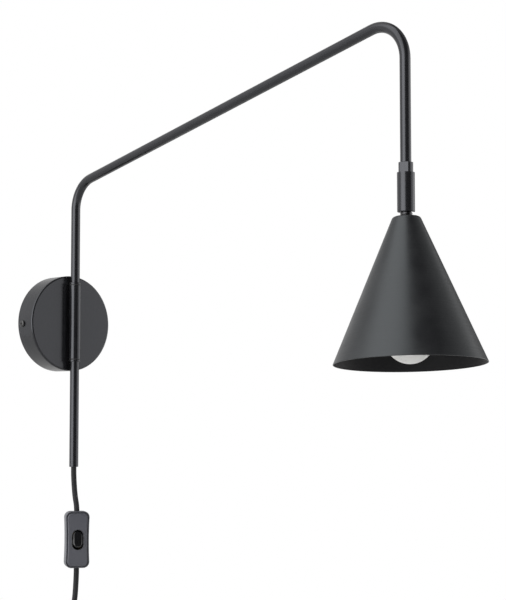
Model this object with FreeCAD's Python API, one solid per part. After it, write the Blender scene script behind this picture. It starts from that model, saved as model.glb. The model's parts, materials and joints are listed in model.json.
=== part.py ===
"""Swing arm wall sconce: a tubular arm turns in a sleeve on a round wall canopy.

The frame is in millimetres. The origin is the middle of the canopy's wall face,
+X runs to the right along the wall, +Y into the wall and +Z up. The arm stands
straight out from the wall, towards -Y. The head is built hanging straight down
from the centre of its ball, and is then leaned and moved into place.
"""
import FreeCAD, Part
import math
import os

# Wall canopy and the bracket behind it
canopy_diameter = 106.4
canopy_depth = 26.5
canopy_wall = 1.2
canopy_edge_radius = 1.2
bracket_width = 20.0
bracket_thickness = 1.5
bracket_tab_depth = 14.0
bracket_clearance = 0.4
wall_slot_spacing = 60.0
wall_slot_width = 5.0
wall_slot_length = 12.0

# Pan head screws that hold the canopy to the bracket
side_screw_from_wall = 9.0
side_screw_drop = 1.5
side_screw_diameter = 4.0
side_screw_length = 8.0
side_screw_head_diameter = 7.6
side_screw_head_height = 2.4
side_screw_head_round = 1.5
screw_recess_length = 3.2
screw_recess_width = 0.5
screw_recess_depth = 1.0
side_screw_seat_depth = 0.25
screw_hole_clearance = 0.25

# Pivot: a sleeve welded to the canopy, with a plain bush in each end
tube_diameter = 10.0
tube_wall = 1.0
bush_wall = 0.45
bush_length = 12.0
sleeve_wall = 1.0
sleeve_length = 82.5
sleeve_centre_height = 1.2
weld_gap = 0.35
weld_width = 5.0
weld_end_margin = 4.0
washer_thickness = 0.5
washer_inset = 0.4
stop_ring_length = 2.4
running_clearance = 0.05
axial_play = 0.1

# Arm: tail, upright, sloping boom and the drop at its end
tail_end_height = -159.7
first_corner_height = 154.4
arm_reach = 495.0
arm_slope_degrees = 12.0
drop_end_height = 123.0
bend_radius = 34.0

# Cord and the cable that carries on inside the arm
cord_diameter = 6.0
cord_clearance = 0.25
exit_bush_length = 12.0

# Swivel at the end of the arm
collar_length = 9.0
collar_diameter = 13.2
collar_flat_distance = 5.3
collar_flat_turn = 24.0
collar_spigot_length = 10.0
journal_diameter = 11.0
barrel_wall = 1.2
barrel_length = 35.75
barrel_edge_radius = 0.8
top_ring_thickness = 4.0
retaining_nut_thickness = 3.0
retaining_nut_diameter = 12.8
nut_thread_diameter = 10.0
spring_plate_thickness = 2.0
disc_spring_count = 4
disc_spring_thickness = 0.6
disc_spring_cone = 0.5
ball_seat_length = 5.8
barrel_fit_clearance = 0.1
seat_bore_clearance = 0.5

# Ball stem
ball_radius = 6.5
ball_clearance = 0.3
ball_above_barrel_end = 7.5
ball_to_seat = 5.2
neck_radius = 4.7
neck_clearance = 1.0
stem_thread_radius = 4.0
shade_below_ball = 12.0
lean_sideways_degrees = 2.5
lean_outward_degrees = 3.8

# Shade
shade_height = 132.0
shade_rim_diameter = 137.4
shade_top_diameter = 24.8
shade_wall = 1.0
shade_shoulder_radius = 3.0
shade_hole_clearance = 0.1
lock_washer_radius = 7.2
lock_washer_thickness = 1.0
lock_nut_across_flats = 13.0
lock_nut_thickness = 4.0

# Lampholder for a small screw cap
holder_below_shade_top = 28.0
holder_cap_length = 12.0
holder_cap_top_radius = 7.0
holder_shoulder_drop = 4.2
holder_shoulder_bulge = 0.8
holder_radius = 13.0
holder_wall = 1.6
holder_mouth_depth = 48.0
partition_thickness = 4.0
shell_wall = 0.8
shell_mouth_gap = 1.5
thread_engagement = 8.0
contact_spring_height = 1.0
contact_spring_inset = 1.0
lamp_wire_radius = 1.0
lamp_wire_offset = 2.6

# Bulb: a 45 mm golf ball lamp
bulb_diameter = 45.0
bulb_length = 78.0
bulb_cap_radius = 6.9
bulb_cap_taper = 3.0
bulb_cap_shoulder = 1.0
bulb_tip_radius = 3.0
bulb_tip_length = 2.0
bulb_housing_length = 20.0
bulb_housing_neck = 1.6
bulb_housing_bulge = 1.2
bulb_join_degrees = 28.0
bulb_glass_wall = 1.2
cap_clearance = 0.3

# Inline rocker switch
switch_length = 62.0
switch_width = 27.4
switch_thickness = 16.0
switch_waist = 1.0
switch_wall = 1.6
switch_corner_radius = 5.5
switch_edge_radius = 2.0
switch_turn_degrees = 28.0
switch_offset = 3.9
switch_top_height = -208.5
cord_entry_depth = 6.0
rocker_opening_length = 21.0
rocker_opening_width = 11.6
rocker_side_gap = 0.4
rocker_end_gap = 1.1
rocker_angle = 12.0
rocker_pivot_depth = 3.6
rocker_stand = 0.6
rocker_body_depth = 3.6
rocker_end_depth = 1.1
rocker_end_rise = 0.66
rocker_dip = 1.1
rocker_pin_radius = 1.4
rocker_pin_overhang = 1.8
pin_clearance = 0.1
bearing_length = 6.0
bearing_depth = 2.6
bearing_wall = 1.0
post_radius = 2.6
post_inset_sideways = 5.0
post_inset_lengthways = 9.0
shell_screw_radius = 1.2
shell_screw_head_radius = 2.2
shell_screw_head_height = 1.6
shell_screw_length = 12.0
shell_screw_slot_width = 0.6
shell_screw_slot_depth = 0.7
terminal_width = 5.0
terminal_length = 8.0
terminal_height = 6.0
terminal_gap = 1.0
terminal_hole_radius = 1.2
terminal_hole_height = 3.2
contact_strip_thickness = 0.6
contact_strip_width = 3.0
contact_strip_end = 3.0

# Hank of put-away cord, its tie and the plug
hank_top_height = -332.0
hank_length = 112.0
hank_width = 55.4
hank_waist_width = 34.0
hank_thickness = 18.4
hank_waist_length = 14.0
tie_height = 8.0
tie_thickness = 1.0
plug_top_height = -476.0
plug_relief_length = 22.0
plug_relief_top_radius = 3.6
plug_relief_base_radius = 5.6
plug_body_length = 26.0
plug_body_width = 35.0
plug_body_thickness = 13.7
plug_pin_spacing = 18.6
plug_pin_diameter = 4.0
plug_pin_length = 19.0
plug_sleeve_length = 9.0
plug_pin_core_radius = 1.5
plug_pin_root = 8.0
plug_pin_round = 1.0

# Places worked out from the sizes above
canopy_radius = canopy_diameter / 2
canopy_inner_radius = canopy_radius - canopy_wall
tube_radius = tube_diameter / 2
tube_bore_radius = tube_radius - tube_wall
cord_radius = cord_diameter / 2
bush_bore_radius = tube_radius + running_clearance
sleeve_bore_radius = bush_bore_radius + bush_wall
sleeve_radius = sleeve_bore_radius + sleeve_wall
pivot_y = -(canopy_depth + weld_gap + sleeve_radius)
sleeve_bottom = sleeve_centre_height - sleeve_length / 2
sleeve_top = sleeve_centre_height + sleeve_length / 2
head_y = pivot_y - arm_reach
second_corner_height = first_corner_height + arm_reach * math.tan(math.radians(arm_slope_degrees))
collar_bottom = drop_end_height - collar_length
journal_radius = journal_diameter / 2
barrel_bore_radius = ball_radius + ball_clearance
barrel_radius = barrel_bore_radius + barrel_wall
barrel_top = collar_bottom - axial_play
barrel_bottom = barrel_top - barrel_length
ball_height = barrel_bottom + ball_above_barrel_end
top_ring_bottom = barrel_top - top_ring_thickness
neck_opening_radius = neck_radius + neck_clearance
shade_top_radius = shade_top_diameter / 2
shade_rim_radius = shade_rim_diameter / 2
cord_hole_radius = cord_radius + cord_clearance
stem_bore_radius = cord_hole_radius
holder_top = -(shade_below_ball + holder_below_shade_top)
partition_top = holder_top - holder_cap_length
bulb_bottom = -(shade_below_ball + shade_height)
bulb_top = bulb_bottom + bulb_length
switch_bottom_height = switch_top_height - switch_length
switch_middle_height = (switch_top_height + switch_bottom_height) / 2

# How far a cutting shape runs past the face that it cuts
cut_margin = 1.0
# The share of the shorter run beside a corner that its bend takes up
bend_share = 0.45

up = FreeCAD.Vector(0, 0, 1)
# The cord bows this way, along the wall and outwards
bow_direction = FreeCAD.Vector(0.7344, -0.6787, 0)

# The hanging cord's route, as (offset to the side, height) along the arm's pivot axis
upper_cord_route = [(0.0, tail_end_height), (0.0, -168.0), (0.7, -180.0), (1.7, -192.0),
                    (switch_offset, -204.0), (switch_offset, -214.5)]
lower_cord_route = [(switch_offset, -264.5), (switch_offset, -275.6), (3.4, -288.6), (2.6, -302.1),
                    (1.0, -313.6), (-5.5, -328.0), (-14.5, -340.0), (-19.5, -349.0)]
tail_cord_route = [(-18.0, -427.0), (-12.5, -437.5), (-4.5, -449.0), (0.0, -462.5), (0.0, plug_top_height)]


def vector(x, y, z):
    return FreeCAD.Vector(x, y, z)


def cylinder(radius, length, base, direction=up):
    return Part.makeCylinder(radius, length, base, direction)


def ring(outer_radius, inner_radius, length, base, direction=up):
    hole_base = base - direction * cut_margin
    return cylinder(outer_radius, length, base, direction).cut(
        cylinder(inner_radius, length + 2 * cut_margin, hole_base, direction))


def turned(start, *steps):
    """Revolve an outline in (radius, height) about Z.

    A step is the next point, or a pair of a middle point and an end point for an arc.
    """
    edges = []
    here = vector(start[0], 0, start[1])
    for step in steps + (start,):
        if isinstance(step[0], tuple):
            middle = vector(step[0][0], 0, step[0][1])
            end = vector(step[1][0], 0, step[1][1])
            edges.append(Part.Arc(here, middle, end).toShape())
        else:
            end = vector(step[0], 0, step[1])
            edges.append(Part.LineSegment(here, end).toShape())
        here = end
    face = Part.Face(Part.Wire(edges))
    return face.revolve(vector(0, 0, 0), up, 360)


def on_arc(centre, radius, degrees):
    angle = math.radians(degrees)
    return (centre[0] + radius * math.cos(angle), centre[1] + radius * math.sin(angle))


def bulged(start, end, bulge):
    """An arc step to the end, pushed out on the right of its chord by the bulge."""
    across, along = end[0] - start[0], end[1] - start[1]
    chord = math.hypot(across, along)
    middle = ((start[0] + end[0]) / 2 + bulge * along / chord,
              (start[1] + end[1]) / 2 - bulge * across / chord)
    return middle, end


def hexagon(across_flats, length, base):
    corner = across_flats / math.sqrt(3)
    points = [base + vector(corner * math.cos(math.radians(a)), corner * math.sin(math.radians(a)), 0)
              for a in range(0, 361, 60)]
    return Part.Face(Part.makePolygon(points)).extrude(up * length)


def centred_box(across, deep, tall):
    return Part.makeBox(across, deep, tall, vector(-across / 2, -deep / 2, -tall / 2))


def slot_prism(length, width, depth, centre, long_axis, direction):
    """A slot with round ends, extruded both ways from its centre."""
    half = length / 2 - width / 2
    side = long_axis.cross(direction) * (width / 2)
    start = centre - direction * (depth / 2)
    a = start + long_axis * half
    b = start - long_axis * half
    edges = [Part.LineSegment(b + side, a + side).toShape(),
             Part.Arc(a + side, a + long_axis * (width / 2), a - side).toShape(),
             Part.LineSegment(a - side, b - side).toShape(),
             Part.Arc(b - side, b - long_axis * (width / 2), b + side).toShape()]
    return Part.Face(Part.Wire(edges)).extrude(direction * depth)


def bend_for(before, corner, after):
    """The largest bend that the shorter run beside a corner allows."""
    arriving = (corner - before).normalize()
    leaving = (after - corner).normalize()
    half_turn = arriving.getAngle(leaving) / 2
    shorter = min((corner - before).Length, (after - corner).Length)
    return bend_share * shorter / math.tan(half_turn)


def route_wire(points, radii):
    """Straight runs between the points, joined by tangent arcs of the given radii."""
    edges = []
    here = points[0]
    for before, corner, after, radius in zip(points, points[1:], points[2:], radii):
        arriving = (corner - before).normalize()
        leaving = (after - corner).normalize()
        half_turn = arriving.getAngle(leaving) / 2
        reach = radius * math.tan(half_turn)
        arc_start = corner - arriving * reach
        arc_end = corner + leaving * reach
        inward = (leaving - arriving).normalize()
        arc_middle = corner + inward * (radius / math.cos(half_turn) - radius)
        edges.append(Part.LineSegment(here, arc_start).toShape())
        edges.append(Part.Arc(arc_start, arc_middle, arc_end).toShape())
        here = arc_end
    edges.append(Part.LineSegment(here, points[-1]).toShape())
    return Part.Wire(edges)


def rod_along(points, radii, radius):
    path = route_wire(points, radii)
    direction = (points[1] - points[0]).normalize()
    section = Part.Wire(Part.makeCircle(radius, points[0], direction))
    return path.makePipeShell([section], True, False), path.Length


def cord_rod(name, points):
    radii = [bend_for(*three) for three in zip(points, points[1:], points[2:])]
    solid, length = rod_along(points, radii, cord_radius)
    expected = math.pi * cord_radius ** 2 * length
    print(name, "bend radii", [round(value) for value in radii], "length", round(length, 1),
          "volume / section x length", round(solid.Volume / expected, 4))
    return solid


def beside_pivot(offset, height):
    """A point on the hanging cord."""
    return vector(0, pivot_y, height) + bow_direction * offset


def on_screw_line(x):
    """A point on the line through both side screws, which runs a little below the canopy's middle."""
    return vector(x, -side_screw_from_wall, -side_screw_drop)


def make_canopy():
    edge = canopy_edge_radius
    inner = canopy_wall
    corner = (canopy_radius - edge, canopy_depth - edge)
    cup = turned(
        (0, canopy_depth - inner), (canopy_inner_radius, canopy_depth - inner), (canopy_inner_radius, 0),
        (canopy_radius, 0), (canopy_radius, canopy_depth - edge),
        (on_arc(corner, edge, 45), (canopy_radius - edge, canopy_depth)), (0, canopy_depth))
    cup.rotate(vector(0, 0, 0), vector(1, 0, 0), 90)
    hole_radius = side_screw_diameter / 2 + screw_hole_clearance
    for side in (-1, 1):
        outward = vector(side, 0, 0)
        cup = cup.cut(cylinder(hole_radius, canopy_diameter, on_screw_line(0), outward))
        seat = on_screw_line(side * (canopy_radius - side_screw_seat_depth))
        cup = cup.cut(cylinder(side_screw_head_diameter / 2 + screw_hole_clearance,
                               side_screw_head_height, seat, outward))
    return cup


def bracket_half_span():
    return math.sqrt(canopy_inner_radius ** 2 - (bracket_width / 2) ** 2) - bracket_clearance


def make_wall_bracket():
    span = bracket_half_span()
    strip = Part.makeBox(2 * span, bracket_thickness, bracket_width,
                         vector(-span, -bracket_thickness, -bracket_width / 2))
    for side in (-1, 1):
        low_x = span - bracket_thickness if side > 0 else -span
        tab = Part.makeBox(bracket_thickness, bracket_tab_depth, bracket_width,
                           vector(low_x, -bracket_tab_depth, -bracket_width / 2))
        strip = strip.fuse(tab)
        slot = slot_prism(wall_slot_length, wall_slot_width, 4 * bracket_thickness,
                          vector(side * wall_slot_spacing / 2, 0, 0), vector(1, 0, 0), vector(0, 1, 0))
        strip = strip.cut(slot)
        strip = strip.cut(cylinder(side_screw_diameter / 2, 6 * bracket_thickness,
                                   on_screw_line(side * (span - 3 * bracket_thickness)), vector(side, 0, 0)))
    return strip.removeSplitter()


def make_side_screws():
    head = side_screw_head_diameter / 2
    height = side_screw_head_height
    corner = (head - side_screw_head_round, height - side_screw_head_round)
    screw = turned(
        (0, -side_screw_length), (side_screw_diameter / 2, -side_screw_length),
        (side_screw_diameter / 2, 0), (head, 0), (head, corner[1]),
        (on_arc(corner, side_screw_head_round, 45), (corner[0], height)), (0, height))
    for length, width in ((screw_recess_length, screw_recess_width),
                          (screw_recess_width, screw_recess_length)):
        screw = screw.cut(Part.makeBox(length, width, screw_recess_depth + cut_margin,
                                       vector(-length / 2, -width / 2, height - screw_recess_depth)))
    screws = []
    for side in (-1, 1):
        copy = screw.copy()
        copy.rotate(vector(0, 0, 0), vector(0, 1, 0), side * 90)
        copy.translate(on_screw_line(side * (canopy_radius - side_screw_seat_depth)))
        screws.append(copy)
    return Part.makeCompound(screws)


def at_pivot(height):
    return vector(0, pivot_y, height)


def make_sleeve():
    return ring(sleeve_radius, sleeve_bore_radius, sleeve_length, at_pivot(sleeve_bottom))


def make_weld():
    length = sleeve_length - 2 * weld_end_margin
    block = Part.makeBox(weld_width, sleeve_radius + weld_gap, length,
                         vector(-weld_width / 2, pivot_y, sleeve_bottom + weld_end_margin))
    return block.cut(cylinder(sleeve_radius, length, at_pivot(sleeve_bottom + weld_end_margin)))


def make_bush(bottom):
    return ring(sleeve_bore_radius, bush_bore_radius, bush_length, at_pivot(bottom))


def make_thrust_washer(bottom):
    return ring(sleeve_radius - washer_inset, bush_bore_radius, washer_thickness, at_pivot(bottom))


def make_stop_ring(bottom):
    return ring(sleeve_radius, tube_radius, stop_ring_length, at_pivot(bottom))


def arm_points(end_height):
    return [at_pivot(tail_end_height), at_pivot(first_corner_height),
            vector(0, head_y, second_corner_height), vector(0, head_y, end_height)]


def make_arm_tube():
    points = arm_points(drop_end_height)
    radii = [bend_radius, bend_radius]
    outside, length = rod_along(points, radii, tube_radius)
    inside, length = rod_along(points, radii, tube_bore_radius)
    print("arm tube centreline", round(length, 1))
    return outside.cut(inside)


def make_exit_bush():
    return ring(tube_bore_radius, cord_radius, exit_bush_length, at_pivot(tail_end_height))


def make_inner_cable():
    cable, length = rod_along(arm_points(collar_bottom - top_ring_thickness), [bend_radius, bend_radius],
                              cord_radius)
    print("cable inside the arm", round(length, 1))
    return cable


def at_head(height):
    return vector(0, head_y, height)


def make_swivel_collar():
    collar = cylinder(collar_diameter / 2, collar_length, at_head(collar_bottom))
    flat_direction = 180 + collar_flat_turn
    for turn in (flat_direction, flat_direction + 180):
        block = Part.makeBox(collar_diameter, 2 * collar_diameter, collar_length,
                             vector(collar_flat_distance, -collar_diameter, 0))
        block.rotate(vector(0, 0, 0), up, turn)
        block.translate(at_head(collar_bottom))
        collar = collar.cut(block)
    collar = collar.fuse(cylinder(tube_bore_radius, collar_spigot_length, at_head(drop_end_height)))
    nut_bottom = top_ring_bottom - axial_play - retaining_nut_thickness
    thread_top = top_ring_bottom - axial_play
    collar = collar.fuse(cylinder(journal_radius, collar_bottom - thread_top, at_head(thread_top)))
    collar = collar.fuse(cylinder(nut_thread_diameter / 2, thread_top - nut_bottom, at_head(nut_bottom)))
    bore_length = drop_end_height + collar_spigot_length - nut_bottom + 2 * cut_margin
    return collar.cut(cylinder(cord_hole_radius, bore_length, at_head(nut_bottom - cut_margin)))


def make_retaining_nut():
    bottom = top_ring_bottom - axial_play - retaining_nut_thickness
    return ring(retaining_nut_diameter / 2, nut_thread_diameter / 2, retaining_nut_thickness, at_head(bottom))


def make_barrel():
    seat_radius = ball_radius + ball_clearance
    lip_top = ball_height - math.sqrt(seat_radius ** 2 - neck_opening_radius ** 2)
    middle = ((barrel_bore_radius + neck_opening_radius) / 2, 0)
    depth = math.sqrt(seat_radius ** 2 - middle[0] ** 2)
    edge = barrel_edge_radius
    corner = (barrel_radius - edge, barrel_bottom + edge)
    barrel = turned(
        (neck_opening_radius, barrel_bottom), (barrel_radius - edge, barrel_bottom),
        (on_arc(corner, edge, -45), (barrel_radius, barrel_bottom + edge)),
        (barrel_radius, barrel_top), (barrel_bore_radius, barrel_top), (barrel_bore_radius, ball_height),
        ((middle[0], ball_height - depth), (neck_opening_radius, lip_top)))
    slot = Part.makeBox(2 * barrel_radius, 2 * neck_opening_radius, ball_height - barrel_bottom + cut_margin,
                        vector(0, -neck_opening_radius, barrel_bottom - cut_margin))
    slot = slot.fuse(cylinder(neck_opening_radius, 2 * barrel_radius, vector(0, 0, ball_height),
                              vector(1, 0, 0)))
    barrel = barrel.cut(slot)
    barrel.translate(vector(0, head_y, 0))
    return barrel


def make_top_ring():
    return ring(barrel_bore_radius, journal_radius + running_clearance, top_ring_thickness,
                at_head(top_ring_bottom))


def seat_bottom():
    return ball_height + ball_to_seat


def spring_bottom():
    return seat_bottom() + ball_seat_length


def spring_stack_height():
    return disc_spring_count * (disc_spring_thickness + disc_spring_cone)


def make_ball_seat():
    outer = barrel_bore_radius - barrel_fit_clearance
    seat = ring(outer, cord_hole_radius + seat_bore_clearance, ball_seat_length, at_head(seat_bottom()))
    return seat.cut(Part.makeSphere(ball_radius + ball_clearance, at_head(ball_height)))


def make_disc_springs():
    outer = barrel_bore_radius - 4 * barrel_fit_clearance
    inner = cord_hole_radius + seat_bore_clearance
    thickness = disc_spring_thickness
    cone = disc_spring_cone
    pitch = thickness + cone
    springs = []
    for index in range(disc_spring_count):
        base = spring_bottom() + index * pitch
        rise_out, rise_in = (cone, 0) if index % 2 else (0, cone)
        disc = turned((inner, base + rise_in), (outer, base + rise_out),
                      (outer, base + rise_out + thickness), (inner, base + rise_in + thickness))
        disc.translate(vector(0, head_y, 0))
        springs.append(disc)
    return Part.makeCompound(springs)


def make_spring_plate():
    return ring(barrel_bore_radius, cord_hole_radius + seat_bore_clearance, spring_plate_thickness,
                at_head(spring_bottom() + spring_stack_height()))


def head_placement():
    lean = FreeCAD.Rotation(vector(1, 0, 0), -lean_outward_degrees).multiply(
        FreeCAD.Rotation(vector(0, 1, 0), lean_sideways_degrees))
    return FreeCAD.Placement(at_head(ball_height), lean)


def in_head(shape):
    shape.Placement = head_placement().multiply(shape.Placement)
    return shape


def stem_bottom():
    return holder_top - thread_engagement


def make_ball_stem():
    neck_start = -math.sqrt(ball_radius ** 2 - neck_radius ** 2)
    bore_top = math.sqrt(ball_radius ** 2 - stem_bore_radius ** 2)
    stem = turned(
        (stem_bore_radius, bore_top), ((ball_radius, 0), (neck_radius, neck_start)),
        (neck_radius, -shade_below_ball), (stem_thread_radius, -shade_below_ball),
        (stem_thread_radius, stem_bottom()), (stem_bore_radius, stem_bottom()))
    return in_head(stem)


def shade_half_angle():
    return math.atan((shade_rim_radius - shade_top_radius) / shade_height)


def make_shade():
    """A spun cone with a flat top and a rounded shoulder."""
    angle = shade_half_angle()
    top = -shade_below_ball
    rim = top - shade_height
    slope = math.tan(angle)
    hole = stem_thread_radius + shade_hole_clearance

    def shell_outline(inset):
        """Radii and heights of a skin that lies this far inside the outer one."""
        flat = top - inset
        radius = max(shade_shoulder_radius - inset, shade_wall / 2)
        side_inset = inset / math.cos(angle)
        corner = shade_top_radius + inset * slope - side_inset
        reach = radius * math.tan((math.pi / 2 - angle) / 2)
        flat_end = (corner - reach, flat)
        centre = (corner - reach, flat - radius)
        cone_start = (corner + reach * math.sin(angle), flat - reach * math.cos(angle))
        bulge = on_arc(centre, radius, 90 - (90 - math.degrees(angle)) / 2)
        cone_end = (shade_rim_radius - side_inset, rim)
        return flat_end, bulge, cone_start, cone_end

    outer = shell_outline(0)
    inner = shell_outline(shade_wall)
    shade = turned(
        (hole, top), outer[0], (outer[1], outer[2]), outer[3],
        inner[3], inner[2], (inner[1], inner[0]), (hole, top - shade_wall))
    return in_head(shade)


def make_lock_washer():
    bottom = -(shade_below_ball + shade_wall + lock_washer_thickness)
    return in_head(ring(lock_washer_radius, stem_thread_radius, lock_washer_thickness, vector(0, 0, bottom)))


def make_lock_nut():
    bottom = -(shade_below_ball + shade_wall + lock_washer_thickness + lock_nut_thickness)
    nut = hexagon(lock_nut_across_flats, lock_nut_thickness, vector(0, 0, bottom))
    hole = cylinder(stem_thread_radius, lock_nut_thickness + 2 * cut_margin,
                    vector(0, 0, bottom - cut_margin))
    return in_head(nut.cut(hole))


def make_holder_cap():
    shoulder_bottom = holder_top - holder_shoulder_drop
    inner = holder_radius - holder_wall
    hub_bottom = stem_bottom()
    hub_radius = stem_thread_radius + 2 * holder_wall
    cap = turned(
        (stem_thread_radius, holder_top), (holder_cap_top_radius, holder_top),
        bulged((holder_cap_top_radius, holder_top), (holder_radius, shoulder_bottom), -holder_shoulder_bulge),
        (holder_radius, partition_top), (inner, partition_top), (inner, shoulder_bottom - holder_wall),
        (hub_radius, holder_top - 2 * holder_wall), (hub_radius, hub_bottom),
        (stem_thread_radius, hub_bottom))
    return in_head(cap)


def holder_mouth():
    return holder_top - holder_mouth_depth


def shell_outer_radius():
    return bulb_cap_radius + cap_clearance + shell_wall


def make_holder_body():
    bore = shell_outer_radius()
    partition_bottom = partition_top - partition_thickness
    body = turned(
        (0, partition_top), (holder_radius, partition_top), (holder_radius, holder_mouth()),
        (bore, holder_mouth()), (bore, partition_bottom), (0, partition_bottom))
    for side in (-1, 1):
        wire_hole = cylinder(lamp_wire_radius, partition_thickness + 2 * cut_margin,
                             vector(side * lamp_wire_offset, 0, partition_bottom - cut_margin))
        body = body.cut(wire_hole)
    return in_head(body)


def make_screw_shell():
    bottom = holder_mouth() + shell_mouth_gap
    length = partition_top - partition_thickness - bottom
    inner = bulb_cap_radius + cap_clearance
    return in_head(ring(shell_outer_radius(), inner, length, vector(0, 0, bottom)))


def make_holder_contact():
    top = partition_top - partition_thickness
    plate_bottom = bulb_top + contact_spring_height
    plate = cylinder(bulb_tip_radius + contact_spring_inset, top - plate_bottom, vector(0, 0, plate_bottom))
    spring = cylinder(bulb_tip_radius - contact_spring_inset, contact_spring_height, vector(0, 0, bulb_top))
    return in_head(plate.fuse(spring))


def make_head_cable():
    return in_head(cylinder(cord_radius, -stem_bottom(), vector(0, 0, stem_bottom())))


def make_lamp_wires():
    bottom = partition_top - partition_thickness
    length = stem_bottom() - bottom
    wires = [in_head(cylinder(lamp_wire_radius, length, vector(side * lamp_wire_offset, 0, bottom)))
             for side in (-1, 1)]
    return Part.makeCompound(wires)


def globe_centre():
    return bulb_bottom + bulb_diameter / 2


def on_globe(inset, degrees):
    """A point on the globe's skin, this far inside it and this far round from its widest part."""
    return on_arc((0, globe_centre()), bulb_diameter / 2 - inset, degrees)


def housing_top():
    return on_globe(0, bulb_join_degrees)[1] + bulb_housing_length


def make_bulb_globe():
    middle = (bulb_join_degrees - 90) / 2
    wall = bulb_glass_wall
    globe = turned(
        (0, bulb_bottom), (on_globe(0, middle), on_globe(0, bulb_join_degrees)),
        on_globe(wall, bulb_join_degrees), (on_globe(wall, middle), (0, bulb_bottom + wall)))
    return in_head(globe)


def make_bulb_housing():
    join = on_globe(0, bulb_join_degrees)
    inner_join = on_globe(bulb_glass_wall, bulb_join_degrees)
    neck = (bulb_cap_radius + bulb_housing_neck, housing_top())
    housing = turned((0, inner_join[1]), inner_join, join, bulged(join, neck, bulb_housing_bulge),
                     (0, housing_top()))
    return in_head(housing)


def make_bulb_cap():
    bottom = housing_top()
    top = bulb_top - bulb_tip_length
    cap = turned((0, bottom), (bulb_cap_radius, bottom), (bulb_cap_radius, top - bulb_cap_taper),
                 (bulb_tip_radius + bulb_cap_shoulder, top), (0, top))
    return in_head(cap)


def make_bulb_tip():
    return in_head(cylinder(bulb_tip_radius, bulb_tip_length, vector(0, 0, bulb_top - bulb_tip_length)))


def switch_placement():
    turn = math.radians(switch_turn_degrees)
    width_axis = vector(math.cos(turn), -math.sin(turn), 0)
    face_axis = vector(-math.sin(turn), -math.cos(turn), 0)
    rotation = FreeCAD.Rotation(width_axis, up, face_axis, "ZXY")
    return FreeCAD.Placement(beside_pivot(switch_offset, switch_middle_height), rotation)


def in_switch(shape):
    """Switch pieces are built with X across, Y along the cord and Z out of the front."""
    shape.Placement = switch_placement().multiply(shape.Placement)
    return shape


def switch_block(inset, low, high, edge_radius):
    """A waisted block with round corners, from low to high across the thickness."""
    half_width = switch_width / 2 - inset
    half_length = switch_length / 2 - inset
    waist = half_width - switch_waist

    def corner(x, y):
        return vector(x * half_width, y * half_length, low)

    edges = [Part.LineSegment(corner(-1, 1), corner(1, 1)).toShape(),
             Part.Arc(corner(1, 1), vector(waist, 0, low), corner(1, -1)).toShape(),
             Part.LineSegment(corner(1, -1), corner(-1, -1)).toShape(),
             Part.Arc(corner(-1, -1), vector(-waist, 0, low), corner(-1, 1)).toShape()]
    block = Part.Face(Part.Wire(edges)).extrude(vector(0, 0, high - low))
    uprights = [edge for edge in block.Edges if edge.BoundBox.ZLength > 0.5 * abs(high - low)]
    block = block.makeFillet(switch_corner_radius - inset, uprights)
    if edge_radius:
        face_height = high if abs(high) > abs(low) else low
        rim = [edge for edge in block.Edges
               if edge.BoundBox.ZLength < 0.01 and abs(edge.BoundBox.ZMin - face_height) < 0.01]
        block = block.makeFillet(edge_radius, rim)
    return block


def post_places():
    x = switch_width / 2 - post_inset_sideways
    y = switch_length / 2 - post_inset_lengthways
    return [(x, y), (-x, -y)]


def cut_cord_entries(shell):
    for end in (-1, 1):
        base = vector(0, end * (switch_length / 2 - cord_entry_depth), 0)
        shell = shell.cut(cylinder(cord_radius, cord_entry_depth + cut_margin, base, vector(0, end, 0)))
    return shell


def rocker_pivot():
    return switch_thickness / 2 - rocker_pivot_depth


def make_bearing(side):
    """The block under the front that one of the rocker's pins turns in."""
    half_opening = rocker_opening_width / 2
    across = rocker_pin_overhang + bearing_wall
    low_x = half_opening if side > 0 else -half_opening - across
    bottom = rocker_pivot() - bearing_depth
    return Part.makeBox(across, bearing_length, switch_thickness / 2 - switch_wall - bottom,
                        vector(low_x, -bearing_length / 2, bottom))


def make_switch_front():
    half = switch_thickness / 2
    shell = switch_block(0, 0, half, switch_edge_radius)
    shell = shell.cut(switch_block(switch_wall, -cut_margin, half - switch_wall, 0))
    for x, y in post_places():
        shell = shell.fuse(cylinder(post_radius, half - switch_wall, vector(x, y, 0), up))
        shell = shell.cut(cylinder(shell_screw_radius, shell_screw_length - half, vector(x, y, 0), up))
    opening = slot_prism(rocker_opening_length, rocker_opening_width, 4 * switch_wall, vector(0, 0, half),
                         vector(0, 1, 0), up)
    shell = shell.cut(opening)
    for side in (-1, 1):
        shell = shell.fuse(make_bearing(side))
        start = vector(side * (rocker_opening_width / 2 - cut_margin), 0, rocker_pivot())
        depth = cut_margin + rocker_pin_overhang + pin_clearance
        shell = shell.cut(cylinder(rocker_pin_radius + pin_clearance, depth, start, vector(side, 0, 0)))
    return in_switch(cut_cord_entries(shell).removeSplitter())


def make_switch_back():
    half = switch_thickness / 2
    shell = switch_block(0, -half, 0, switch_edge_radius)
    shell = shell.cut(switch_block(switch_wall, switch_wall - half, cut_margin, 0))
    for x, y in post_places():
        shell = shell.fuse(cylinder(post_radius, half - switch_wall, vector(x, y, switch_wall - half), up))
        shell = shell.cut(cylinder(shell_screw_radius, half + cut_margin, vector(x, y, -half), up))
        shell = shell.cut(cylinder(shell_screw_head_radius, shell_screw_head_height,
                                   vector(x, y, -half), up))
    return in_switch(cut_cord_entries(shell).removeSplitter())


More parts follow.
